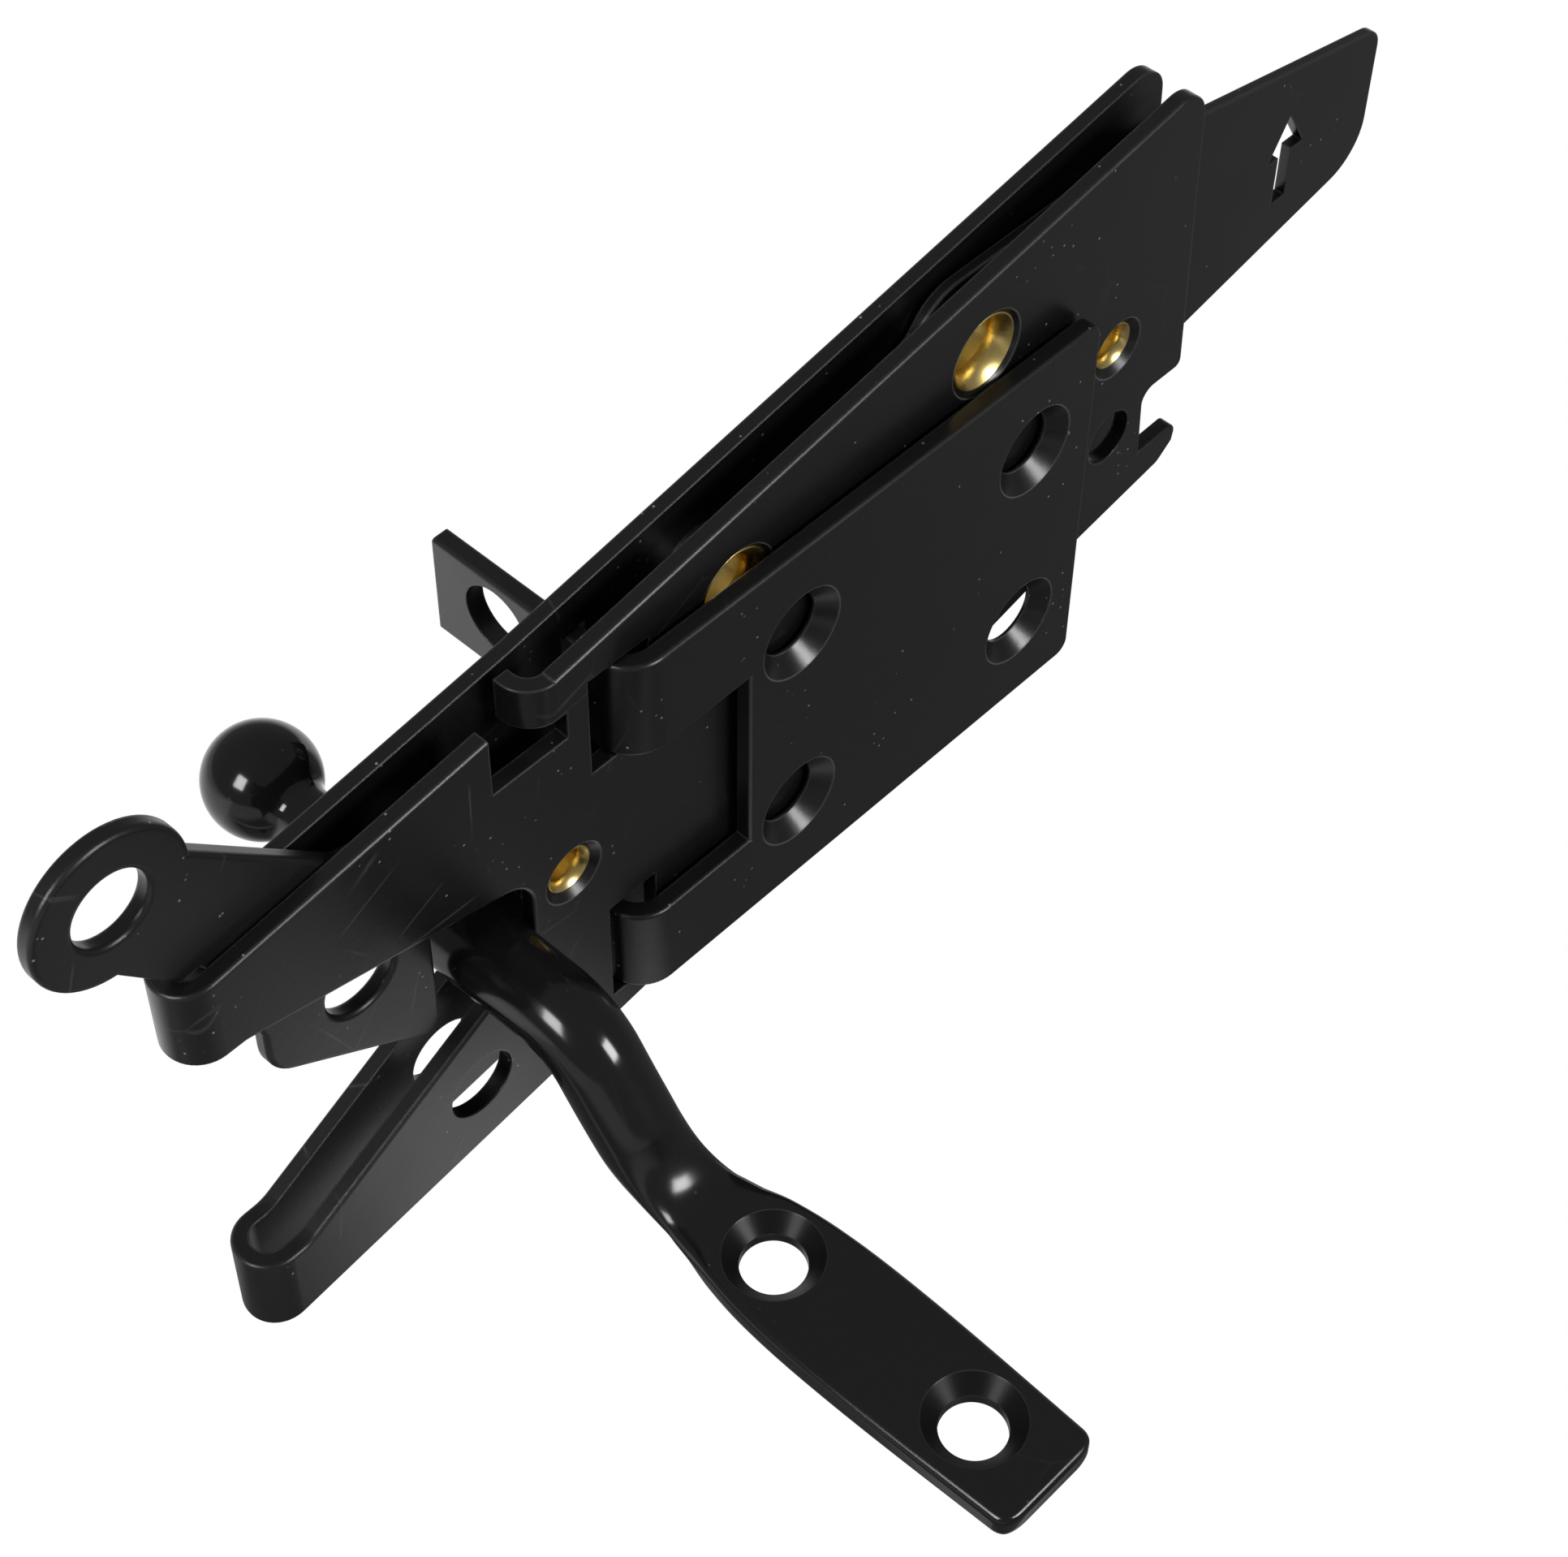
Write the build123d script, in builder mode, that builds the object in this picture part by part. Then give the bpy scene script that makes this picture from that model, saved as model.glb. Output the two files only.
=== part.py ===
"""Gravity gate latch: folded housing, pawl lever, trip lever, fork bracket and striker bar, in millimetres.

X runs along the latch towards its tail, Y runs from the bracket's face into the latch, Z is up.
The origin is the centre of the bracket's screw holes, on the bracket's outer face.
"""
import os
from math import atan2, cos, degrees, hypot, radians, sin, sqrt
from build123d import *

os.makedirs("parts", exist_ok=True)

# Bracket: a plate with two legs folded back through the housing
bracket_sheet = 2.4
bracket_half_height = 27.3
bracket_tail_x = 29.6
bracket_corner = 2.0
bracket_edge = 0.45
bracket_bend_x = -40.3
bracket_bend_radius = 2.6
leg_end_y = 29.3
fork_x = -27.3
fork_top_z = 13.4
fork_bottom_z = -14.4
screw_pitch_x = 38.6
screw_pitch_z = 28.5
screw_radius = 4.0
screw_sink_radius = 6.0
sink_angle = 90
leg_hole_radius = 4.5
leg_hole_y = 20.0
leg_hole_z = 21.5
leg_inner_x = bracket_bend_x - bracket_bend_radius
leg_outer_x = leg_inner_x - bracket_sheet

# Housing: one sheet folded at the two prong noses
housing_gap = 0.6
housing_sheet = 2.0
slit = 4.3
near_y = bracket_sheet + housing_gap
slit_y = near_y + housing_sheet
far_y = slit_y + slit
back_y = far_y + housing_sheet
middle_y = (near_y + back_y) / 2
nose_outer = (back_y - near_y) / 2
nose_inner = slit / 2
upper_nose_x = -98.0
lower_nose_x = -95.0
blank_x = upper_nose_x - 3 * nose_outer
tail_x = 50.9
tail_top_x = 48.8
tail_top_z = 48.3
upper_prong_z = 13.3
lower_prong_z = -27.4
lower_prong_bottom_z = -40.9
mouth_end_x = -57.5
mouth_end_z = 3.6
mouth_round = 5.0
mouth_floor_slope = 0.555
slot_clearance = 0.3
upper_slot_x = -48.2
lower_slot_x = -46.7
slot_tail_x = -39.5
lower_slot_z = -11.5
far_slot_clearance = 0.5
far_slot_x = leg_outer_x - far_slot_clearance
far_slot_tail_x = leg_inner_x + far_slot_clearance
upper_leg_low = fork_top_z - slot_clearance
upper_leg_high = bracket_half_height + slot_clearance
lower_leg_low = -bracket_half_height - slot_clearance
lower_leg_high = fork_bottom_z + slot_clearance
tab_notch_x = -61.8
tab_notch_z = 21.5
tab_notch_end_x = -51.2
tab_x = -52.5
tab_z = 25.4
tab_top_z = 31.0
tab_run = 0.9
tab_bend = 2.0
padlock_radius = 4.5
padlock_place = (-67.0, -24.1)
tail_hole_radius = 3.6
tail_hole_place = (37.5, 1.6)
housing_edge = 0.45

# Tubular rivets and the bushes that hold the plates apart
pawl_place = (-51.6, -0.5)
upper_place = (-26.3, 24.5)
trip_place = (12.9, 31.6)
stop_place = (37.3, 16.0)
small_shank = 2.6
large_shank = 3.75
small_flare = 3.15
large_flare = 5.0
small_sink = 4.1
large_sink = 5.6
rivet_wall = 0.5
rivet_lip = 0.36
rivet_clearance = 0.03
bush_wall = 1.0
running_clearance = 0.06

# Levers, one behind the other in the slit
lever_clearance = 0.2
pawl_sheet = 2.2
trip_sheet = 1.5
pawl_y = slit_y + lever_clearance
trip_y = pawl_y + pawl_sheet + lever_clearance
pawl_edge = 0.6
trip_edge = 0.3
pawl_travel = 20.0
ring_place = (-105.4, 41.6)
ring_radius = 9.2
eye_radius = 4.4
pawl_eye_place = (-79.5, 5.5)
pawl_eye_radius = 4.6
pawl_hub = 5.7
pawl_crook_z = 6.5
shoulder_z = 25.2
pin_radius = 2.0
pin_place = (-34.0, 5.0)
pin_slot_clearance = 0.35
pawl_pin_end = 4.5
pin_end = 5.0
trip_hub = 7.4
tail_end_x = 90.9
arrow_x = 73.8
arrow_head = 3.45
arrow_stem = 1.3
arrow_tip_z = 26.2
arrow_base_z = 20.5
arrow_foot_z = 13.3

# Knob on the pawl lever, behind the far plate
knob_place = (-71.7, 11.35)
knob_shank = 2.0
knob_neck = 3.3
knob_fillet = 2.4
knob_ball = 6.55
knob_ball_y = 28.5
knob_slot_clearance = 0.35

# Striker bar: round rod in the mouth, joggled down to a flat paddle with two screw holes
rod_radius = 4.9
rod_x = -63.1
rod_z = -5.1
rod_overhang = 4.2
rod_seat_clearance = 0.3
rod_pawl_gap = 1.8
joggle_y = -9.5
joggle_end = (-17.5, -16.4)
joggle_bend = 9.0
paddle_x = rod_x + 0.6
paddle_start_y = -28.0
paddle_end_y = -75.5
paddle_top_z = -20.0
paddle_thickness = 3.2
paddle_hole_radius = 3.7
paddle_sink_radius = 5.6
paddle_half_width = 7.75
paddle_neck_half_width = 5.5
paddle_end_half_width = 7.0
paddle_full_y = -52.0
paddle_corner = 2.0
paddle_edge = 0.9
neck_inset = 0.05
paddle_hole_y = (-37.0, -65.0)


def face_plane(y):
    """Upright plane at depth y, with local x along X and local y along Z."""
    return Plane.XZ.offset(-y)


def turned(point, centre, angle):
    """The point turned about the centre by an angle in degrees, anticlockwise as seen from the bracket."""
    dx, dz = point[0] - centre[0], point[1] - centre[1]
    c, s = cos(radians(angle)), sin(radians(angle))
    return (centre[0] + c * dx - s * dz, centre[1] + s * dx + c * dz)


def bearing(point, centre):
    """Direction of the point from the centre, in degrees."""
    return degrees(atan2(point[1] - centre[1], point[0] - centre[0]))


def reach(point, centre):
    """Distance of the point from the centre."""
    return hypot(point[0] - centre[0], point[1] - centre[1])


def outer_edges(plate, front_y, rear_y, least, folds=()):
    """Edges round a plate's two faces, of outlines longer than the given length, less the fold lines."""
    faces = plate.faces().filter_by(Axis.Y).filter_by_position(Axis.Y, front_y - 0.01, front_y + 0.01)
    faces += plate.faces().filter_by(Axis.Y).filter_by_position(Axis.Y, rear_y - 0.01, rear_y + 0.01)
    edges = [edge for face in faces for wire in face.wires() if wire.length > least for edge in wire.edges()]
    return [edge for edge in edges if all(abs(edge.center().X - fold) > 0.01 for fold in folds)]


# The pin on the pawl lever swings the trip lever through this angle while the pawl lifts fully
pin_lifted = turned(pin_place, pawl_place, -pawl_travel)
trip_travel = bearing(pin_lifted, trip_place) - bearing(pin_place, trip_place)
print(f"trip travel {trip_travel:.3f} degrees, ratio {-trip_travel / pawl_travel:.5f}")

# The rod sits just above the sloping floor of the mouth
floor_drop = (rod_radius + rod_seat_clearance) * hypot(1, mouth_floor_slope)
floor_end_z = rod_z - floor_drop + mouth_floor_slope * (mouth_end_x - rod_x)
floor_start_x = mouth_end_x - (floor_end_z - lower_prong_z) / mouth_floor_slope
pawl_face_x = rod_x - rod_radius - rod_pawl_gap

with BuildPart() as housing:
    for nose_x, height in ((upper_nose_x, 2 * tail_top_z), (lower_nose_x, 2 * lower_prong_bottom_z)):
        run = tail_x + nose_outer - nose_x
        with BuildSketch(Plane.XY.offset(rod_z)):
            with Locations((nose_x, middle_y)):
                Circle(nose_outer)
                Rectangle(run, 2 * nose_outer, align=(Align.MIN, Align.CENTER))
                Circle(nose_inner, mode=Mode.SUBTRACT)
                Rectangle(run, slit, align=(Align.MIN, Align.CENTER), mode=Mode.SUBTRACT)
        extrude(amount=height)
    with BuildSketch(face_plane(near_y)) as outline:
        with BuildLine():
            Polyline(
                (blank_x, 23.3),
                (-53.0, 31.0),
                (tail_top_x, tail_top_z),
                (tail_x, 4.4),
                (43.8, 4.4),
                (44.4, -5.9),
                (51.7, -5.7),
                (51.2, -8.5),
                (48.6, -10.6),
                (30.0, -13.9),
                (-38.0, -30.4),
                (blank_x, lower_prong_bottom_z),
                (blank_x, lower_prong_z),
                (floor_start_x, lower_prong_z),
                (mouth_end_x, floor_end_z),
                (mouth_end_x, mouth_end_z),
                (-95.5, upper_prong_z),
                (blank_x, upper_prong_z),
                close=True,
            )
        make_face()
        for corner, radius in (
            ((tail_top_x, tail_top_z), 4.0),
            ((tail_x, 4.4), 1.2),
            ((43.8, 4.4), 1.8),
            ((51.7, -5.7), 1.2),
            ((48.6, -10.6), 2.5),
            ((mouth_end_x, floor_end_z), mouth_round - 1),
            ((mouth_end_x, mouth_end_z), mouth_round),
            ((floor_start_x, lower_prong_z), 4.0),
            ((-95.5, upper_prong_z), 3.0),
        ):
            fillet(outline.vertices().sort_by_distance(corner + (0,))[0], radius)
    extrude(amount=-(back_y - near_y), mode=Mode.INTERSECT)
    fillet(outer_edges(housing, near_y, back_y, tail_end_x, (upper_nose_x, lower_nose_x)), housing_edge)
    # Both legs of the bracket pass through the plates, with more room in the near one for the bends
    for plate_y, start_x, end_x, low_z, high_z in (
        (near_y, upper_slot_x, slot_tail_x, upper_leg_low, upper_leg_high),
        (near_y, lower_slot_x, slot_tail_x, lower_leg_low, lower_slot_z),
        (far_y, far_slot_x, far_slot_tail_x, upper_leg_low, upper_leg_high),
        (far_y, far_slot_x, far_slot_tail_x, lower_leg_low, lower_leg_high),
    ):
        with BuildSketch(face_plane(plate_y)):
            with Locations((start_x, low_z)):
                Rectangle(end_x - start_x, high_z - low_z, align=(Align.MIN, Align.MIN))
        extrude(amount=-housing_sheet, mode=Mode.SUBTRACT)
    with BuildSketch(face_plane(near_y)):
        with Locations(padlock_place):
            Circle(padlock_radius)
        with Locations(tail_hole_place):
            Circle(tail_hole_radius)
    extrude(amount=-(back_y - near_y), mode=Mode.SUBTRACT)
    for side_y, out in ((near_y, -1), (back_y, 1)):
        for place, shank, sink in (
            (pawl_place, small_shank, small_sink),
            (upper_place, large_shank, large_sink),
            (trip_place, large_shank, large_sink),
            (stop_place, small_shank, small_sink),
        ):
            with Locations(Plane(origin=(place[0], side_y, place[1]), z_dir=(0, out, 0))):
                CounterSinkHole(shank + rivet_clearance, sink, 2 * housing_sheet, sink_angle)
    # The tab is cut free from the near plate and folded across the slit
    with BuildSketch(face_plane(near_y)):
        with Locations((tab_notch_x, tab_notch_z)):
            Rectangle(tab_notch_end_x - tab_notch_x, tab_z - tab_notch_z, align=(Align.MIN, Align.MIN))
            Rectangle(tab_x - tab_notch_x, 2 * tab_top_z, align=(Align.MIN, Align.MIN))
    extrude(amount=-housing_sheet, mode=Mode.SUBTRACT)
    with BuildSketch(Plane.XY.offset(tab_z)):
        tab_outer = tab_bend + housing_sheet
        with Locations((tab_x, near_y + tab_outer)):
            Circle(tab_outer)
            Circle(tab_bend, mode=Mode.SUBTRACT)
            Rectangle(2 * tab_outer, 2 * tab_outer, align=(Align.MIN, Align.CENTER), mode=Mode.SUBTRACT)
            Rectangle(2 * tab_outer, tab_outer, align=(Align.CENTER, Align.MIN), mode=Mode.SUBTRACT)
        with Locations((tab_x - tab_outer, near_y + tab_outer)):
            Rectangle(housing_sheet, tab_run, align=(Align.MIN, Align.MIN))
    extrude(amount=tab_top_z - tab_z)
    # Curved slot in the far plate for the knob's shank
    with BuildSketch(face_plane(far_y)):
        with BuildLine(mode=Mode.PRIVATE) as knob_swing:
            CenterArc(
                pawl_place,
                reach(knob_place, pawl_place),
                bearing(knob_place, pawl_place) - pawl_travel - 1,
                pawl_travel + 2,
            )
        SlotArc(knob_swing.edge(), 2 * (knob_shank + knob_slot_clearance))
    extrude(amount=-housing_sheet, mode=Mode.SUBTRACT)
housing.part.label = "housing"
export_step(housing.part, "parts/housing.step")

with BuildPart() as bracket:
    with BuildSketch(Plane.XY.offset(-bracket_half_height)):
        bend_y = bracket_bend_radius + bracket_sheet
        with BuildLine():
            Line((bracket_tail_x, 0), (bracket_bend_x, 0))
            RadiusArc((bracket_bend_x, 0), (leg_outer_x, bend_y), bend_y)
            Line((leg_outer_x, bend_y), (leg_outer_x, leg_end_y))
            Line((leg_outer_x, leg_end_y), (leg_inner_x, leg_end_y))
            Line((leg_inner_x, leg_end_y), (leg_inner_x, bend_y))
            RadiusArc((leg_inner_x, bend_y), (bracket_bend_x, bracket_sheet), -bracket_bend_radius)
            Line((bracket_bend_x, bracket_sheet), (bracket_tail_x, bracket_sheet))
            Line((bracket_tail_x, bracket_sheet), (bracket_tail_x, 0))
        make_face()
    extrude(amount=2 * bracket_half_height)
    with BuildSketch(face_plane(0)):
        with Locations((fork_x, fork_bottom_z)):
            Rectangle(2 * abs(leg_outer_x), fork_top_z - fork_bottom_z, align=(Align.MAX, Align.MIN))
    extrude(amount=-2 * leg_end_y, mode=Mode.SUBTRACT)
    fillet(bracket.edges().filter_by(Axis.Y).group_by(Axis.X)[-1], bracket_corner)
    fillet(outer_edges(bracket, 0, bracket_sheet, tail_end_x, (bracket_bend_x,)), bracket_edge)
    with Locations(Plane.XZ):
        with GridLocations(screw_pitch_x, screw_pitch_z, 2, 2):
            CounterSinkHole(screw_radius, screw_sink_radius, 2 * bracket_sheet, sink_angle)
    for leg_z in (leg_hole_z, -leg_hole_z):
        with Locations(Plane(origin=(leg_outer_x, leg_hole_y, leg_z), z_dir=(-1, 0, 0))):
            Hole(leg_hole_radius, depth=2 * bracket_sheet)
bracket.part.label = "bracket"
export_step(bracket.part, "parts/bracket.step")

with BuildPart() as pawl_lever:
    with BuildSketch(face_plane(pawl_y)) as pawl_outline:
        with BuildLine():
            Polyline(
                (-99.3, 44.8),
                (-79.5, 25.0),
                (-70.0, 22.5),
                (-46.0, 6.5),
                (pin_place[0], pin_place[1] + pawl_pin_end),
                (pin_place[0], pin_place[1] - pawl_pin_end),
                (pawl_place[0], pawl_place[1] - pawl_hub),
                (pawl_place[0] - pawl_hub, pawl_place[1]),
                (mouth_end_x, pawl_crook_z),
                (pawl_face_x, pawl_crook_z),
                (pawl_face_x, -10.0),
                (-71.3, -12.3),
                (-92.0, 1.6),
                (-92.0, 8.0),
                (-96.6, 23.6),
                (-97.6, shoulder_z),
                (-100.2, shoulder_z),
                (-107.0, 33.2),
                close=True,
            )
        make_face()
        for corner, radius in (
            ((-79.5, 25.0), 4.0),
            ((-70.0, 22.5), 6.0),
            ((pawl_face_x, pawl_crook_z), 2.0),
            ((-71.3, -12.3), 1.2),
            ((-92.0, 1.6), 6.0),
        ):
            fillet(pawl_outline.vertices().sort_by_distance(corner + (0,))[0], radius)
        with Locations(ring_place):
            Circle(ring_radius)
            Circle(eye_radius, mode=Mode.SUBTRACT)
        with Locations(pawl_place):
            Circle(pawl_hub)
            Circle(small_shank + bush_wall + running_clearance, mode=Mode.SUBTRACT)
        with Locations(pin_place):
            Circle(pawl_pin_end)
            Circle(pin_radius + rivet_clearance, mode=Mode.SUBTRACT)
        with Locations(pawl_eye_place):
            Circle(pawl_eye_radius, mode=Mode.SUBTRACT)
        with Locations(knob_place):
            Circle(knob_shank + rivet_clearance, mode=Mode.SUBTRACT)
    extrude(amount=-pawl_sheet)
    fillet(outer_edges(pawl_lever, pawl_y, pawl_y + pawl_sheet, 6 * eye_radius), pawl_edge)
pawl_lever.part.label = "pawl_lever"
export_step(pawl_lever.part, "parts/pawl_lever.step")

with BuildPart() as trip_lever:
    arm_bearing = bearing(pin_place, trip_place)
    slot_reach = (reach(pin_place, trip_place) + reach(pin_lifted, trip_place)) / 2
    slot_length = reach(pin_lifted, trip_place) - reach(pin_place, trip_place)
    slot_place = turned((trip_place[0] + slot_reach, trip_place[1]), trip_place, arm_bearing)
    with BuildSketch(face_plane(trip_y)) as trip_outline:
        with BuildLine():
            Polyline(
                (trip_place[0], trip_place[1] + trip_hub),
                (47.0, 38.9),
                (tail_end_x, 29.7),
                (tail_end_x, 10.45),
                (51.5, 2.55),
                (48.5, 5.5),
                (33.0, 5.5),
                (8.0, 21.0),
                turned((slot_place[0], slot_place[1] - pin_end), slot_place, 30),
                turned((slot_place[0], slot_place[1] + pin_end), slot_place, 30),
                close=True,
            )
        make_face()
        for corner, radius in (
            ((tail_end_x, 29.7), 3.0),
            ((tail_end_x, 10.45), 7.0),
            ((8.0, 21.0), 6.0),
        ):
            fillet(trip_outline.vertices().sort_by_distance(corner + (0,))[0], radius)
        with Locations(trip_place):
            Circle(trip_hub)
            Circle(large_shank + bush_wall + running_clearance, mode=Mode.SUBTRACT)
        with Locations(slot_place):
            Circle(pin_end)
        with Locations(Location(slot_place, arm_bearing)):
            SlotCenterToCenter(slot_length, 2 * (pin_radius + pin_slot_clearance), mode=Mode.SUBTRACT)
        with BuildLine(mode=Mode.PRIVATE) as stop_swing:
            CenterArc(
                trip_place,
                reach(stop_place, trip_place),
                bearing(stop_place, trip_place) - trip_travel - 1,
                trip_travel + 2,
            )
        SlotArc(stop_swing.edge(), 2 * (small_shank + bush_wall + pin_slot_clearance), mode=Mode.SUBTRACT)
        # Arrow cut through the tail, pointing up
        with BuildLine():
            Polyline(
                (arrow_x, arrow_tip_z),
                (arrow_x + arrow_head, arrow_base_z),
                (arrow_x + arrow_stem, arrow_base_z),
                (arrow_x + arrow_stem, arrow_foot_z),
                (arrow_x - arrow_stem, arrow_foot_z),
                (arrow_x - arrow_stem, arrow_base_z),
                (arrow_x - arrow_head, arrow_base_z),
                close=True,
            )
        make_face(mode=Mode.SUBTRACT)
    extrude(amount=-trip_sheet)
    fillet(outer_edges(trip_lever, trip_y, trip_y + trip_sheet, tail_end_x), trip_edge)
trip_lever.part.label = "trip_lever"
export_step(trip_lever.part, "parts/trip_lever.step")

# Rivets and bushes share one section, turned about each pivot
for name, place, shank, flare, sink in (
    ("pawl", pawl_place, small_shank, small_flare, small_sink),
    ("upper", upper_place, large_shank, large_flare, large_sink),
    ("trip", trip_place, large_shank, large_flare, large_sink),
    ("stop", stop_place, small_shank, small_flare, small_sink),
):
    axis = Axis((place[0], 0, place[1]), (0, 1, 0))
    section = Plane(origin=(place[0], 0, place[1]), x_dir=(1, 0, 0), z_dir=(0, 0, 1))
    bore = shank - rivet_wall
    lip_y = sink - flare
    cone_y = sink - shank
    lip = 0.7 * rivet_lip
    flute = flare - lip - bore
    flute_y = lip_y - lip + 1.7 * flute
    with BuildPart() as rivet:
        with BuildSketch(section):
            with BuildLine():
                Polyline(
                    (flare, near_y + lip_y),
                    (shank, near_y + cone_y),
                    (shank, back_y - cone_y),
                    (flare, back_y - lip_y),
                )
                for face_y, inward in ((near_y, 1), (back_y, -1)):
                    ThreePointArc(
                        (flare, face_y + inward * lip_y),
                        (flare - 0.2 * lip, face_y + inward * (lip_y - 0.8 * lip)),
                        (flare - lip, face_y + inward * (lip_y - lip)),
                    )
                    ThreePointArc(
                        (flare - lip, face_y + inward * (lip_y - lip)),
                        (bore + 0.4 * flute, face_y + inward * (lip_y - lip + 0.65 * flute)),
                        (bore, face_y + inward * flute_y),
                    )
                Line((bore, near_y + flute_y), (bore, back_y - flute_y))
            make_face()
        revolve(axis=axis)
    rivet.part.label = f"{name}_rivet"
    export_step(rivet.part, f"parts/{name}_rivet.step")

    with BuildPart() as bush:
        with BuildSketch(face_plane(slit_y)):
            with Locations(place):
                Circle(shank + bush_wall)
                Circle(shank + rivet_clearance, mode=Mode.SUBTRACT)
        extrude(amount=-slit)
    bush.part.label = f"{name}_bush"
    export_step(bush.part, f"parts/{name}_bush.step")

with BuildPart() as drive_pin:
    with BuildSketch(face_plane(pawl_y)):
        with Locations(pin_place):
            Circle(pin_radius)
    extrude(amount=-(trip_y + trip_sheet - pawl_y))
drive_pin.part.label = "drive_pin"
export_step(drive_pin.part, "parts/drive_pin.step")

with BuildPart() as knob:
    neck_y = back_y + slot_clearance
    knob_section = Plane(origin=(knob_place[0], 0, knob_place[1]), x_dir=(1, 0, 0), z_dir=(0, 0, 1))
    with BuildSketch(knob_section) as profile:
        with Locations((0, pawl_y)):
            Rectangle(knob_shank, neck_y + 1 - pawl_y, align=(Align.MIN, Align.MIN))
        with Locations((0, neck_y)):
            Rectangle(knob_neck, knob_ball_y - neck_y, align=(Align.MIN, Align.MIN))
        with Locations((0, knob_ball_y)):
            Circle(knob_ball)
            Rectangle(2 * knob_ball, 2 * knob_ball, align=(Align.MAX, Align.CENTER), mode=Mode.SUBTRACT)
        throat = (knob_neck, knob_ball_y - sqrt(knob_ball**2 - knob_neck**2), 0)
        fillet(profile.vertices().sort_by_distance(throat)[0], knob_fillet)
    revolve(axis=Axis((knob_place[0], 0, knob_place[1]), (0, 1, 0)))
knob.part.label = "knob"
export_step(knob.part, "parts/knob.step")

with BuildPart() as striker_bar:
    paddle_z = paddle_top_z - paddle_thickness / 2
    with BuildSketch(Plane.XY.offset(paddle_top_z - paddle_thickness)) as paddle_outline:
        with BuildLine():
            for edge in (-1, 1):
                Spline(
                    (paddle_x + edge * paddle_neck_half_width, paddle_start_y),
                    (paddle_x + edge * 0.95 * paddle_half_width, 0.55 * paddle_start_y + 0.45 * paddle_full_y),
                    (paddle_x + edge * paddle_half_width, paddle_full_y),
                    (paddle_x + edge * paddle_end_half_width, paddle_end_y),
                )
            Line(
                (paddle_x - paddle_neck_half_width, paddle_start_y),
                (paddle_x + paddle_neck_half_width, paddle_start_y),
            )
            Line(
                (paddle_x - paddle_end_half_width, paddle_end_y),
                (paddle_x + paddle_end_half_width, paddle_end_y),
            )
        make_face()
        fillet(paddle_outline.vertices().group_by(Axis.Y)[0], paddle_corner)
    extrude(amount=paddle_thickness)
    paddle_rims = striker_bar.faces().filter_by(Axis.Z).edges()
    fillet([rim for rim in paddle_rims if rim.center().Y < paddle_start_y - 0.01], paddle_edge)
    for hole_y in paddle_hole_y:
        with Locations((paddle_x, hole_y, paddle_top_z)):
            CounterSinkHole(paddle_hole_radius, paddle_sink_radius, 2 * paddle_thickness, sink_angle)
    side = Plane(origin=(rod_x, 0, 0), x_dir=(0, 1, 0), z_dir=(1, 0, 0))
    with BuildLine(side) as rod_path:
        FilletPolyline((back_y + rod_overhang, rod_z), (joggle_y, rod_z), joggle_end, radius=joggle_bend)
    with BuildSketch(Plane(origin=rod_path.line @ 0, z_dir=rod_path.line % 0)):
        Circle(rod_radius)
    sweep(path=rod_path.line)
    # The round rod is forged flat, turning level into the neck of the paddle
    neck_radius = rod_radius - neck_inset
    neck_width = 2 * (paddle_neck_half_width - neck_inset)
    neck_height = paddle_thickness - 2 * neck_inset
    with BuildSketch(Plane(origin=rod_path.line @ 1, x_dir=(1, 0, 0), z_dir=rod_path.line % 1)):
        RectangleRounded(2 * neck_radius, 2 * neck_radius, 0.99 * neck_radius)
    for place, fall, width, height, corner in (
        (((rod_x + paddle_x) / 2, -20.6, -19.2), 37.0, 2 * neck_radius, 7.6, 3.4),
        ((paddle_x, -23.6, -21.0), 15.0, 2 * neck_radius, 4.6, 1.8),
        ((paddle_x, paddle_start_y + 1.7, paddle_z), 0.0, neck_width - 0.6, paddle_thickness, 1.1),
        ((paddle_x, paddle_start_y, paddle_z), 0.0, neck_width, neck_height, paddle_edge),
    ):
        heading = (0, -cos(radians(fall)), -sin(radians(fall)))
        with BuildSketch(Plane(origin=place, x_dir=(1, 0, 0), z_dir=heading)):
            RectangleRounded(width, height, corner)
    loft()
striker_bar.part.label = "striker_bar"
export_step(striker_bar.part, "parts/striker_bar.step")
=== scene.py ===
"""Looks of the gravity gate latch: satin black coat, brass rivets, white studio, the photograph's view."""
import math
import bmesh
import bpy
from mathutils import Matrix, Vector


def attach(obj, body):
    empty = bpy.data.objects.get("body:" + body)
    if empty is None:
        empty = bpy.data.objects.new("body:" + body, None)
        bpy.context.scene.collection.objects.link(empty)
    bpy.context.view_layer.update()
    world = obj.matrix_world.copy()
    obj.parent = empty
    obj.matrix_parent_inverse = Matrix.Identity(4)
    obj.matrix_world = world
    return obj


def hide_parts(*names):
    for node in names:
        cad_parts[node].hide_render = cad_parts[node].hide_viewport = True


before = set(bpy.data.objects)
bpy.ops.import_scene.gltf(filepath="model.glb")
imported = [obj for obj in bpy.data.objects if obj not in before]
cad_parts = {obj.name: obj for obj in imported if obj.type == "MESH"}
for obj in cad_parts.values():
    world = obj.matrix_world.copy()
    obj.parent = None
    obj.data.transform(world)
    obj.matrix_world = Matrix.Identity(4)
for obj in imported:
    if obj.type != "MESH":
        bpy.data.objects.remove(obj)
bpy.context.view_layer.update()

scene = bpy.context.scene
scene.view_settings.view_transform = "Standard"

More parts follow.
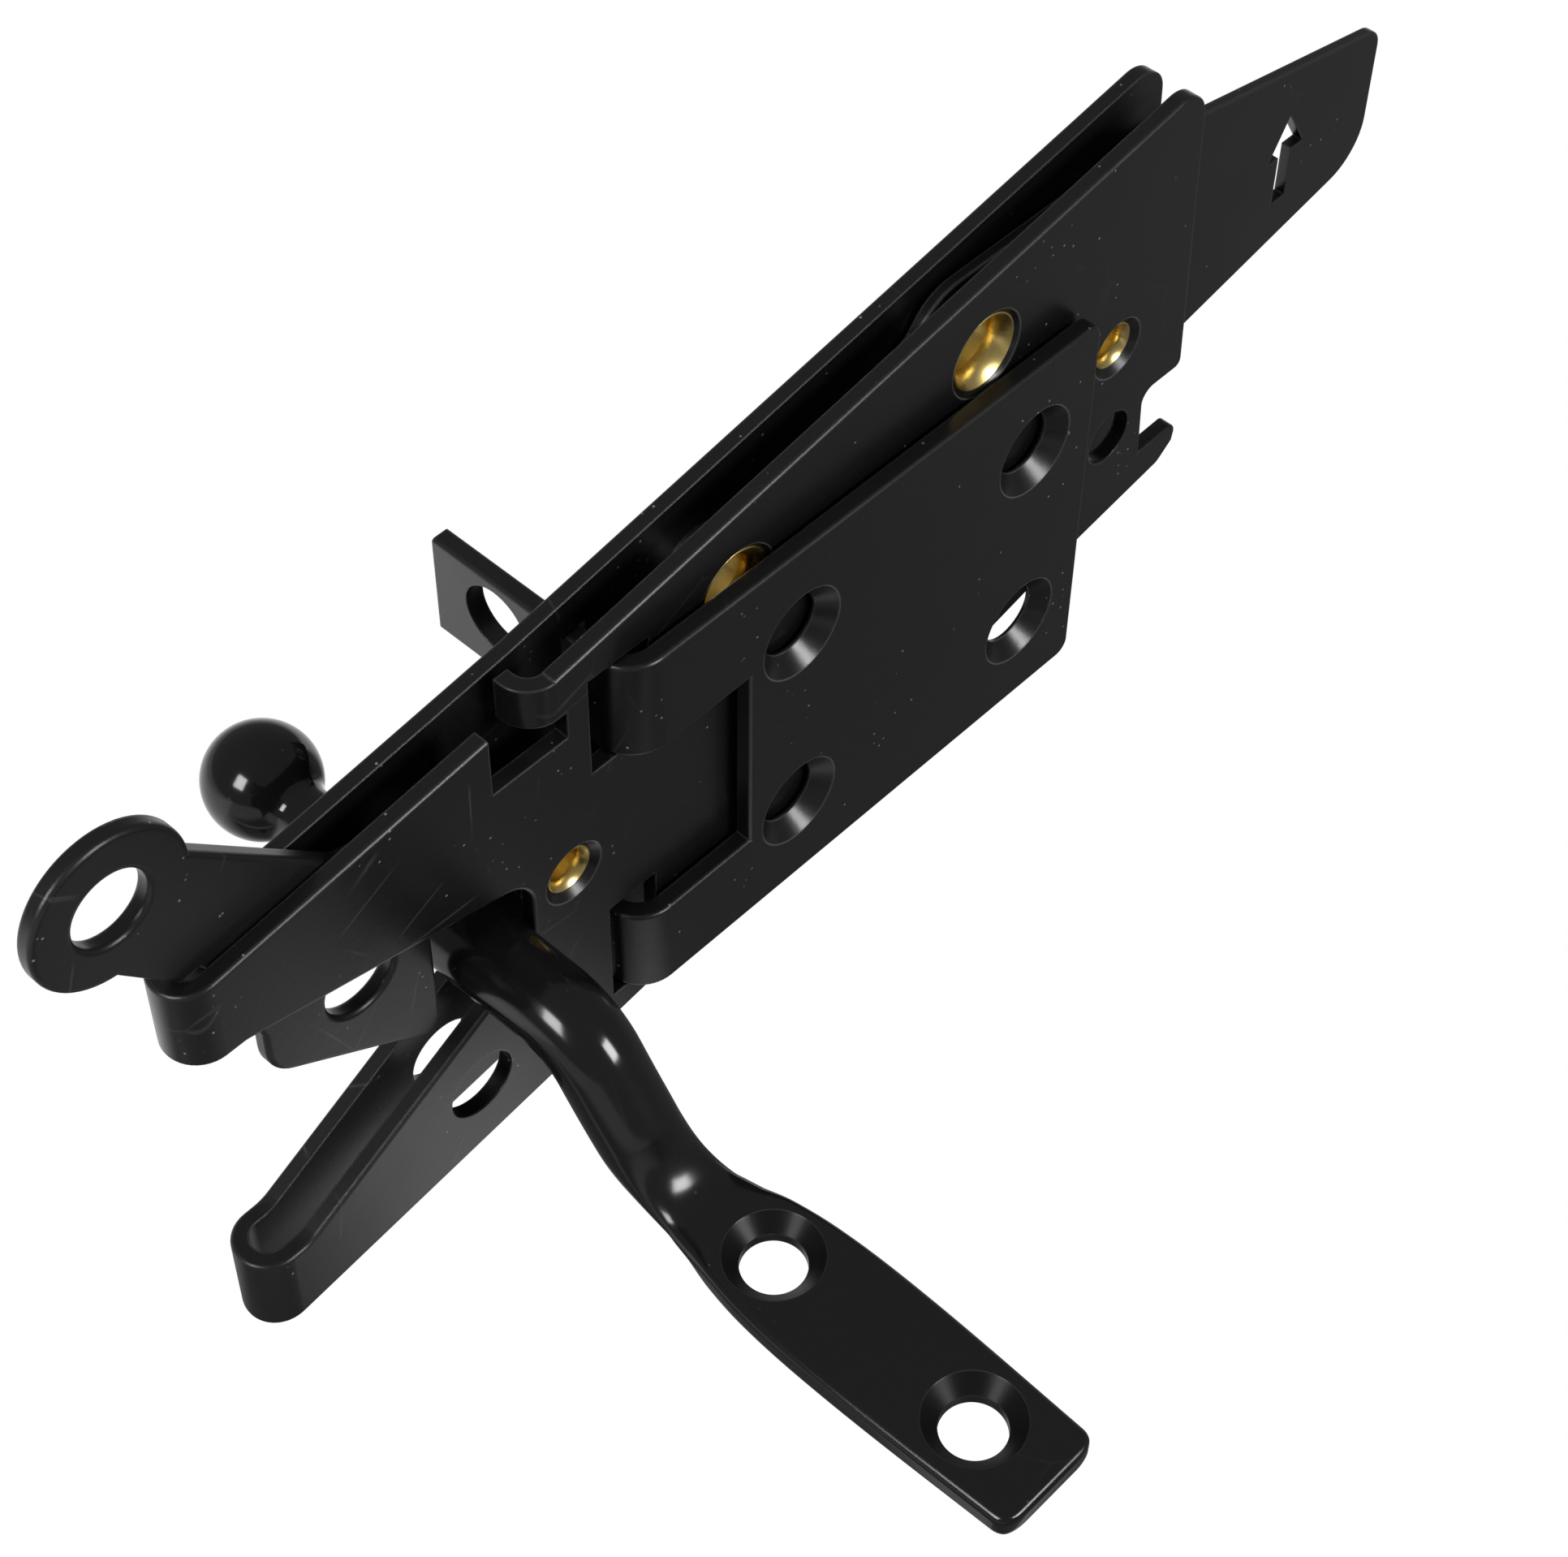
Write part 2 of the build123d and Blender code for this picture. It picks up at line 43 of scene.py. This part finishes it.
# Striker bar, in millimetres like the solid's source
MM_PER_M = 1000
ROD_X = -63.1
ROD_Z = -5.1
ROD_R = 4.9
ROD_END_Y = 15.5
ROD_EDGE = 0.5
JOGGLE_Y = -9.5
JOGGLE_FALL = math.atan2(11.3, 8.0)
BEND_R = 9.0
NECK_R = 13.0
SHIFT_START_Y = -12.0
SHIFT_RUN = 16.0
PADDLE_X = -62.5
PADDLE_Z = -21.6
PADDLE_HALF = 1.6
PADDLE_END_Y = -75.5
PADDLE_EDGE = 0.9
PADDLE_CORNER = 2.0
# Depth and half width of the bar, from the rod through the neck to the paddle's end
HALF_WIDTHS = (
    (-18.0, 4.9),
    (-22.0, 4.85),
    (-26.35, 5.15),
    (-28.0, 5.5),
    (-38.8, 7.36),
    (-52.0, 7.75),
    (-75.5, 7.0),
)
HOLES_Y = (-37.0, -65.0)
HOLE_R = 3.7
SINK_R = 5.6
# The bar starts to thin this far before the neck bends, and its top stays crowned this far beyond
THIN_LEAD = 3.0
CROWN_RUN = 6.0
THIN_POWER = 1.35
SQUARE_POWER = 1.6
# Corners of a section never take up all of its height
CORNER_SHARE = 0.98
# Mesh steps along the bar, round a quarter of its section and round a hole
ROD_END_INSETS = (0.0, 0.05, 0.15, 0.3, 0.5)
ROD_STEPS = 24
BEND_STEPS = 28
SLOPE_STEPS = 14
NECK_STEPS = 32
PADDLE_STEPS = 60
END_STEPS = 16
SIDE_STEPS = 3
ARC_STEPS = 12
TOP_STEPS = 8
HOLE_STEPS = 96
SHARP_ANGLE = math.radians(35)
# How far the drill reaches below and above the paddle's top
DRILL_DEPTH = 5
DRILL_RISE = 0.5

# Studio, in metres
FLOOR_Z = -0.075
FLOOR_SIZE = 6.0
SURROUND = 0.19

# Camera fitted to the bracket's screw holes: axis-angle turn and shift into lens axes (right, down, ahead)
LENS_TURN = Vector((2.2828927, -0.9803004, 0.3672784))
LENS_SHIFT = Vector((0.01508627, -0.01723597, 0.38023203))
FOCAL_PIXELS = 4113.135
PHOTO_WIDTH_PIXELS = 1932.0
SENSOR_MM = 36.0
NEAR_CLIP = 0.01

# Colours of the coat and the metals
BLACK = (0.0045, 0.0045, 0.0047, 1)
SCUFFED = (0.022, 0.022, 0.022, 1)
DUSTY = (0.16, 0.16, 0.155, 1)
SCRATCHED = (0.05, 0.05, 0.05, 1)
# Painted highlight grey for the rims of edges and countersinks
PAINTED_RIM_HIGHLIGHT = (0.10, 0.10, 0.10, 1)
BRASS = (0.84, 0.65, 0.25, 1)
TARNISHED = (0.72, 0.54, 0.18, 1)
STEEL = (0.20, 0.20, 0.21, 1)
WHITE = (1, 1, 1, 1)
PAPER = (0.8, 0.8, 0.8, 1)


class Graph:
    """Small helper for building a material's node tree."""

    def __init__(self, name):
        self.material = bpy.data.materials.new(name)
        self.material.use_nodes = True
        self.tree = self.material.node_tree
        self.tree.nodes.clear()
        self.output = self.tree.nodes.new("ShaderNodeOutputMaterial")

    def add(self, kind, inputs=None, **settings):
        node = self.tree.nodes.new(kind)
        for key, value in settings.items():
            setattr(node, key, value)
        for key, value in (inputs or {}).items():
            self.feed(node, key, value)
        return node

    def feed(self, node, key, value):
        if isinstance(value, bpy.types.NodeSocket):
            self.tree.links.new(value, node.inputs[key])
        else:
            node.inputs[key].default_value = value

    def place(self):
        return self.add("ShaderNodeTexCoord").outputs["Object"]

    def axes(self, place):
        return self.add("ShaderNodeSeparateXYZ", {"Vector": place}).outputs

    def maths(self, operation, a, b=0.0, clamp=False):
        return self.add("ShaderNodeMath", {0: a, 1: b}, operation=operation, use_clamp=clamp).outputs[0]

    def times(self, a, b):
        return self.maths("MULTIPLY", a, b)

    def largest(self, *values):
        result = values[0]
        for value in values[1:]:
            result = self.maths("MAXIMUM", result, value)
        return result

    def distance(self, place, centre):
        node = self.add("ShaderNodeVectorMath", {0: place, 1: centre}, operation="DISTANCE")
        return node.outputs["Value"]

    def ramp(self, value, low, high, out_low=0.0, out_high=1.0):
        inputs = {"Value": value, "From Min": low, "From Max": high, "To Min": out_low, "To Max": out_high}
        return self.add("ShaderNodeMapRange", inputs).outputs["Result"]

    def noise(self, place, scale, detail=2.0, rough=0.5):
        inputs = {"Vector": place, "Scale": scale, "Detail": detail, "Roughness": rough}
        return self.add("ShaderNodeTexNoise", inputs).outputs["Fac"]

    def cells(self, place, scale, feature):
        inputs = {"Vector": place, "Scale": scale}
        return self.add("ShaderNodeTexVoronoi", inputs, feature=feature).outputs["Distance"]

    def mix(self, factor, a, b):
        node = self.add("ShaderNodeMix", data_type="RGBA")
        for key, value in ((0, factor), (6, a), (7, b)):
            self.feed(node, key, value)
        return node.outputs[2]

    def finish(self, shader):
        self.tree.links.new(shader.outputs[0], self.output.inputs["Surface"])
        return self.material


def scuffs(g, place):
    """Streaky rubbed areas, only in patches."""
    inputs = {"Vector": place, "Rotation": (0.0, 0.6, 0.0), "Scale": (90.0, 90.0, 900.0)}
    streaks = g.add("ShaderNodeMapping", inputs).outputs[0]
    lines = g.ramp(g.noise(streaks, 1.0, 4.0, 0.6), 0.66, 0.78)
    return g.times(lines, g.ramp(g.noise(place, 45.0), 0.52, 0.68))


def specks(g, place, dust):
    """Small grains of dust in loose clusters."""
    grains = g.ramp(g.cells(place, 700.0, "F1"), 0.13, 0.06)
    clusters = g.ramp(g.noise(place, 130.0, 1.0), 0.57, 0.62)
    return g.times(g.times(grains, clusters), dust)


def scratches(g, place, dust):
    """Fine straight scratches, most of them at the prongs."""
    prong_x, plate_x = -0.06, -0.03
    lines = g.ramp(g.cells(place, 70.0, "DISTANCE_TO_EDGE"), 0.012, 0.003)
    lines = g.times(lines, g.ramp(g.noise(place, 110.0), 0.54, 0.66))
    return g.times(lines, g.ramp(g.axes(place)["X"], plate_x, prong_x, 0.1 * dust, 0.45 * dust))


def rims(g, rounded, rim_highlight):
    """Painted highlight: light lines where a face turns by a small angle, as at the rim of a countersink."""
    face = g.add("ShaderNodeNewGeometry").outputs["Normal"]
    turn = g.add("ShaderNodeVectorMath", {0: rounded, 1: face}, operation="DOT_PRODUCT").outputs["Value"]
    return g.times(g.ramp(turn, 0.99, 0.96, 0.0, rim_highlight), g.ramp(turn, 0.86, 0.90))


def black_coat(name, roughness, peel, dust, edge_round, rim_highlight, sinks=()):
    """Thick satin black coat with orange peel, cloudy gloss, scuffs, dust, scratches and painted highlight
    lines at its rims.

    Inside the sinks, given as x, y and radius in metres, the coat is duller."""
    full_shine, sink_shine, sink_rough, sink_blend = 0.5, 0.16, 0.30, 0.0001
    peel_depth = 0.00006
    g = Graph(name)
    place = g.place()
    scuff = scuffs(g, place)
    colour = g.mix(g.times(scuff, 0.35), BLACK, SCUFFED)
    colour = g.mix(specks(g, place, dust), colour, DUSTY)
    colour = g.mix(scratches(g, place, dust), colour, SCRATCHED)
    clouds = g.ramp(g.noise(place, 60.0, 3.0), 0.3, 0.7, roughness - 0.04, roughness + 0.05)
    rough = g.maths("ADD", clouds, g.times(scuff, 0.10))
    shine = full_shine
    for x, y, radius in sinks:
        level = g.add("ShaderNodeVectorMath", {0: place, 1: (1.0, 1.0, 0.0)}, operation="MULTIPLY").outputs[0]
        away = g.distance(level, (x, y, 0.0))
        outside, inside = radius + sink_blend, radius - sink_blend
        rough = g.largest(rough, g.ramp(away, outside, inside, 0.0, sink_rough))
        shine = g.maths("MINIMUM", shine, g.ramp(away, outside, inside, full_shine, sink_shine))
    rounded = g.add("ShaderNodeBevel", {"Radius": edge_round}, samples=4).outputs[0]
    # Painted highlight: rims where the face turns a little get a lighter grey, in place of the light that
    # rounded edges catch
    colour = g.mix(rims(g, rounded, rim_highlight), colour, PAINTED_RIM_HIGHLIGHT)
    bump = g.add(
        "ShaderNodeBump",
        {"Height": g.noise(place, 1100.0), "Strength": peel, "Distance": peel_depth, "Normal": rounded},
    )
    shader = g.add(
        "ShaderNodeBsdfPrincipled",
        {
            "Base Color": colour,
            "Roughness": rough,
            "IOR": 1.5,
            "Specular IOR Level": shine,
            "Normal": bump.outputs[0],
        },
    )
    return g.finish(shader)


def brass(name):
    """Turned brass, a little tarnished in patches."""
    g = Graph(name)
    tarnish = g.ramp(g.noise(g.place(), 260.0), 0.40, 0.70)
    colour = g.mix(tarnish, BRASS, TARNISHED)
    rough = g.ramp(tarnish, 0.0, 1.0, 0.27, 0.34)
    return g.finish(
        g.add("ShaderNodeBsdfPrincipled", {"Base Color": colour, "Metallic": 1.0, "Roughness": rough})
    )


def steel(name):
    """Turned steel of the hidden bushes and pin."""
    g = Graph(name)
    rough = g.ramp(g.noise(g.place(), 500.0, 3.0), 0.3, 0.7, 0.30, 0.45)
    return g.finish(
        g.add("ShaderNodeBsdfPrincipled", {"Base Color": STEEL, "Metallic": 1.0, "Roughness": rough})
    )


def reflected_shade(g, place):
    """Tone of the floor in reflections: bright behind the latch, far left and in two spots, else shaded."""
    strip_slope, strip_offset = 0.8, 0.13
    patch_centre = (-0.052, -0.018, 0.0)
    least = 0.13
    axes = g.axes(place)
    x, y = axes["X"], axes["Y"]
    behind = g.times(g.ramp(y, 0.025, 0.075, 0.0, 0.9), g.ramp(y, 0.18, 0.50, 1.0, 0.35))
    right = g.ramp(x, 0.05, 0.16, 0.0, 0.06)
    left = g.ramp(x, -0.19, -0.26, 0.0, 0.40)
    slant = g.maths("ADD", g.times(x, strip_slope), y)
    from_strip = g.maths("ABSOLUTE", g.maths("ADD", slant, strip_offset))
    strip = g.times(g.ramp(from_strip, 0.012, 0.004, 0.0, 0.35), g.ramp(x, -0.02, -0.05))
    patch = g.ramp(g.distance(place, patch_centre), 0.036, 0.008, 0.0, 0.80)
    return g.maths("ADD", g.largest(behind, strip, patch, right, left), least, clamp=True)


def white_ground(name):
    """Paper, white to the camera, graded in reflections and plain for the light it scatters."""
    g = Graph(name)
    path = g.add("ShaderNodeLightPath").outputs
    glossy = path["Is Glossy Ray"]
    seen = g.largest(path["Is Camera Ray"], path["Is Transmission Ray"])
    shown = g.mix(glossy, WHITE, reflected_shade(g, g.place()))
    white = g.add("ShaderNodeEmission", {"Color": shown, "Strength": 1.0})
    paper = g.add("ShaderNodeBsdfDiffuse", {"Color": PAPER})
    shines = g.largest(seen, glossy)
    return g.finish(g.add("ShaderNodeMixShader", {0: shines, 1: paper.outputs[0], 2: white.outputs[0]}))


def smooth(u):
    """Ease from 0 to 1."""
    u = min(max(u, 0.0), 1.0)
    return u * u * (3 - 2 * u)


def round_inset(radius, from_end):
    """How far a rounded edge draws back at this distance from the end."""
    if from_end >= radius:
        return 0.0
    return radius - math.sqrt(max(0.0, radius**2 - (radius - from_end) ** 2))


def half_width(y):
    """Half the bar's width at depth y: a smooth curve through the knots, straight on the rod's side."""
    knots = HALF_WIDTHS
    if y >= knots[0][0]:
        return knots[0][1]
    slopes = [0.0]
    for before, after in zip(knots, knots[2:]):
        slopes.append((after[1] - before[1]) / (after[0] - before[0]))
    slopes.append((knots[-1][1] - knots[-2][1]) / (knots[-1][0] - knots[-2][0]))
    last = len(knots) - 2
    i = next((k for k in range(last) if y >= knots[k + 1][0]), last)
    (y0, w0), (y1, w1) = knots[i], knots[i + 1]
    span = y1 - y0
    u = (y - y0) / span
    near = (2 * u**3 - 3 * u**2 + 1) * w0 + (u**3 - 2 * u**2 + u) * span * slopes[i]
    return near + (3 * u**2 - 2 * u**3) * w1 + (u**3 - u**2) * span * slopes[i + 1]


def centre_line():
    """Stations along the bar: depth, height, slope, how thin it is and how square its section (0 to 1)."""
    bend_y = JOGGLE_Y + BEND_R * math.tan(JOGGLE_FALL / 2)
    slope_run = (ROD_Z - PADDLE_Z) / math.tan(JOGGLE_FALL)
    neck_y = JOGGLE_Y - slope_run - NECK_R * math.tan(JOGGLE_FALL / 2)
    turn = THIN_LEAD + NECK_R * JOGGLE_FALL

    def neck_shape(gone):
        thin = smooth((gone / turn) ** THIN_POWER)
        return thin, smooth((gone / (turn + CROWN_RUN)) ** SQUARE_POWER)

    def neck_place(angle):
        return neck_y + NECK_R * math.sin(angle), PADDLE_Z + NECK_R * (1 - math.cos(angle))

    stations = [(ROD_END_Y - d, ROD_Z, 0.0, 0.0, 0.0) for d in ROD_END_INSETS]
    rod_start_y = ROD_END_Y - ROD_END_INSETS[-1]
    for i in range(1, ROD_STEPS + 1):
        stations.append((rod_start_y + (bend_y - rod_start_y) * i / ROD_STEPS, ROD_Z, 0.0, 0.0, 0.0))
    for i in range(1, BEND_STEPS + 1):
        angle = JOGGLE_FALL * i / BEND_STEPS
        place = (bend_y - BEND_R * math.sin(angle), ROD_Z - BEND_R * (1 - math.cos(angle)))
        stations.append((*place, angle, 0.0, 0.0))
    start = stations[-1][:2]
    stop = neck_place(JOGGLE_FALL)
    run = math.dist(start, stop)
    for i in range(1, SLOPE_STEPS + 1):
        u = i / SLOPE_STEPS
        place = (start[0] + u * (stop[0] - start[0]), start[1] + u * (stop[1] - start[1]))
        stations.append((*place, JOGGLE_FALL, *neck_shape(max(0.0, u * run - run + THIN_LEAD))))
    for i in range(1, NECK_STEPS + 1):
        angle = JOGGLE_FALL * (1 - i / NECK_STEPS)
        stations.append((*neck_place(angle), angle, *neck_shape(THIN_LEAD + NECK_R * (JOGGLE_FALL - angle))))
    for i in range(1, PADDLE_STEPS + 1):
        y = neck_y + (PADDLE_END_Y + PADDLE_CORNER - neck_y) * i / PADDLE_STEPS
        stations.append((y, PADDLE_Z, 0.0, *neck_shape(turn + neck_y - y)))
    for i in range(1, END_STEPS + 1):
        angle = math.pi / 2 * i / END_STEPS
        stations.append((PADDLE_END_Y + PADDLE_CORNER * (1 - math.sin(angle)), PADDLE_Z, 0.0, 1.0, 1.0))
    return stations


def section(a, b, c, square):
    """Points round a section of half width a, half height b and corner c: an oval turning square."""
    steps = SIDE_STEPS + ARC_STEPS + TOP_STEPS
    quarter = []
    for i in range(steps):
        t = math.pi / 2 * i / steps
        if i <= SIDE_STEPS:
            box = (a, (b - c) * i / SIDE_STEPS)
        elif i <= SIDE_STEPS + ARC_STEPS:
            corner = math.pi / 2 * (i - SIDE_STEPS) / ARC_STEPS
            box = (a - c + c * math.cos(corner), b - c + c * math.sin(corner))
        else:
            box = ((a - c) * (steps - i) / TOP_STEPS, b)
        oval = (a * math.cos(t), b * math.sin(t))
        quarter.append((oval[0] + square * (box[0] - oval[0]), oval[1] + square * (box[1] - oval[1])))
    upper = quarter + [(0.0, b)] + [(-x, z) for x, z in reversed(quarter)]
    lower = [(x, -z) for x, z in reversed(upper[1:-1])]
    return upper + lower


def bar_rings():
    """The bar's sections, each as a ring of places."""
    rings = []
    for y, z, slope, thin, square in centre_line():
        inset = round_inset(ROD_EDGE, ROD_END_Y - y) + round_inset(PADDLE_EDGE, y - PADDLE_END_Y)
        a = half_width(y) - round_inset(PADDLE_CORNER, y - PADDLE_END_Y) - inset
        b = ROD_R + (PADDLE_HALF - ROD_R) * thin - inset
        c = min(CORNER_SHARE * b, ROD_R + (PADDLE_EDGE - ROD_R) * square)
        x = ROD_X + (PADDLE_X - ROD_X) * smooth((SHIFT_START_Y - y) / SHIFT_RUN)
        lean, rise = -math.sin(slope), math.cos(slope)
        rings.append([(x + dx, y + lean * dn, z + rise * dn) for dx, dn in section(a, b, c, square)])
    return rings


def drill_rings(hole_y):
    """A drill with its countersink, standing over one hole."""
    top = PADDLE_Z + PADDLE_HALF
    sink_depth = SINK_R - HOLE_R
    profile = (
        (HOLE_R, top - DRILL_DEPTH),
        (HOLE_R, top - sink_depth),
        (SINK_R + DRILL_RISE, top + DRILL_RISE),
    )
    angles = [2 * math.pi * k / HOLE_STEPS for k in range(HOLE_STEPS)]
    return [[(PADDLE_X + r * math.cos(t), hole_y + r * math.sin(t), z) for t in angles] for r, z in profile]


def skinned(name, *ring_sets):
    """Closed object over one or more sets of rings, given in millimetres."""
    work = bmesh.new()
    for ring_set in ring_sets:
        rings = [[work.verts.new([v / MM_PER_M for v in place]) for place in ring] for ring in ring_set]
        for one, two in zip(rings, rings[1:]):
            for i in range(len(one)):
                j = (i + 1) % len(one)
                work.faces.new((one[i], one[j], two[j], two[i]))
        work.faces.new(list(reversed(rings[0])))
        work.faces.new(rings[-1])
    bmesh.ops.recalc_face_normals(work, faces=work.faces)
    mesh = bpy.data.meshes.new(name)
    work.to_mesh(mesh)
    work.free()
    piece = bpy.data.objects.new(name, mesh)
    scene.collection.objects.link(piece)
    return piece


def forged_bar():
    """Rod, joggle and paddle as one smooth forging, with its two countersunk holes cut."""
    bar = skinned("striker_forging", bar_rings())
    drill = skinned("drill", *[drill_rings(hole_y) for hole_y in HOLES_Y])
    blank, drill_mesh = bar.data, drill.data
    holes = bar.modifiers.new("holes", "BOOLEAN")
    holes.operation = "DIFFERENCE"
    holes.solver = "EXACT"
    holes.object = drill
    drilled = bpy.data.meshes.new_from_object(bar.evaluated_get(bpy.context.evaluated_depsgraph_get()))
    bar.modifiers.clear()
    bar.data = drilled
    bpy.data.objects.remove(drill)
    bpy.data.meshes.remove(drill_mesh)
    bpy.data.meshes.remove(blank)
    drilled.name = "striker_forging"
    drilled.shade_smooth()
    drilled.set_sharp_from_angle(angle=SHARP_ANGLE)
    return bar


def studio_world():
    """White to the camera, a dim even light otherwise."""
    world = bpy.data.worlds.new("studio")
    world.use_nodes = True
    tree = world.node_tree
    tree.nodes.clear()
    path = tree.nodes.new("ShaderNodeLightPath")
    mixer = tree.nodes.new("ShaderNodeMixShader")
    end = tree.nodes.new("ShaderNodeOutputWorld")
    tree.links.new(path.outputs["Is Camera Ray"], mixer.inputs[0])
    for socket, strength in ((1, SURROUND), (2, 1.0)):
        light = tree.nodes.new("ShaderNodeBackground")
        light.inputs["Color"].default_value = WHITE
        light.inputs["Strength"].default_value = strength
        tree.links.new(light.outputs[0], mixer.inputs[socket])
    tree.links.new(mixer.outputs[0], end.inputs[0])
    return world


def softbox(name, place, aim, width, height, power):
    """Area light at place, pointing at aim."""
    data = bpy.data.lights.new(name, "AREA")
    data.shape = "RECTANGLE"
    data.size = width
    data.size_y = height
    data.energy = power
    lamp = bpy.data.objects.new(name, data)
    scene.collection.objects.link(lamp)
    lamp.location = place
    lamp.rotation_euler = (Vector(aim) - Vector(place)).to_track_quat("-Z", "Y").to_euler()
    return lamp


def photo_camera():
    """The photograph's camera."""
    to_lens = Matrix.Rotation(LENS_TURN.length, 3, LENS_TURN.normalized())
    eye = -(to_lens.transposed() @ LENS_SHIFT)
    axes = Matrix((to_lens[0], -to_lens[1], -to_lens[2])).transposed()
    data = bpy.data.cameras.new("camera")
    data.sensor_width = SENSOR_MM
    data.sensor_fit = "HORIZONTAL"
    data.lens = FOCAL_PIXELS * SENSOR_MM / PHOTO_WIDTH_PIXELS
    data.clip_start = NEAR_CLIP
    camera = bpy.data.objects.new("camera", data)
    scene.collection.objects.link(camera)
    camera.matrix_world = Matrix.Translation(eye) @ axes.to_4x4()
    return camera


# Materials of the nodes
paddle_sinks = [(PADDLE_X / MM_PER_M, y / MM_PER_M, SINK_R / MM_PER_M) for y in HOLES_Y]
# Each coat's painted rim highlight is set per coat: full on the sheet, a quarter on the bar, none on the knob
sheet_coat = black_coat("black_coat_sheet", 0.30, peel=0.20, dust=1.0, edge_round=0.0003, rim_highlight=1.0)
bar_coat = black_coat(
    "black_coat_bar", 0.15, peel=0.03, dust=0.15, edge_round=0.0002, rim_highlight=0.25, sinks=paddle_sinks
)
knob_coat = black_coat("black_coat_knob", 0.09, peel=0.03, dust=0.1, edge_round=0.0002, rim_highlight=0.0)
gold = brass("brass_rivet")
grey = steel("bare_steel")
looks = {"striker_bar": bar_coat, "knob": knob_coat, "drive_pin": grey}
for name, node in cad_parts.items():
    if name.endswith("_rivet"):
        look = gold
    elif name.endswith("_bush"):
        look = grey
    else:
        look = looks.get(name, sheet_coat)
    for slot in node.material_slots:
        slot.material = look

# Striker bar, smoother at its neck than the solid it stands for
striker = forged_bar()
striker.data.materials.clear()
striker.data.materials.append(bar_coat)
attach(striker, "frame")
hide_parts("striker_bar")

# Floor below the lowest point
bpy.ops.mesh.primitive_plane_add(size=FLOOR_SIZE, location=(0, 0, FLOOR_Z))
floor = bpy.context.object
floor.name = "floor"
floor.data.materials.append(white_ground("white_paper"))

# Light and camera; the overhead box only fills, and isn't mirrored in the coat
scene.world = studio_world()
overhead = softbox("overhead box", (-0.30, 0.12, 0.85), (0, 0, 0), 0.60, 0.60, 4.5)
overhead.visible_glossy = False
softbox("key box", (-0.80, 0.0, 0.55), (-0.02, 0, 0), 0.30, 0.36, 4.5)
softbox("front box", (0.15, -0.78, 0.46), (0, 0, 0), 0.30, 0.30, 5.0)
scene.camera = photo_camera()
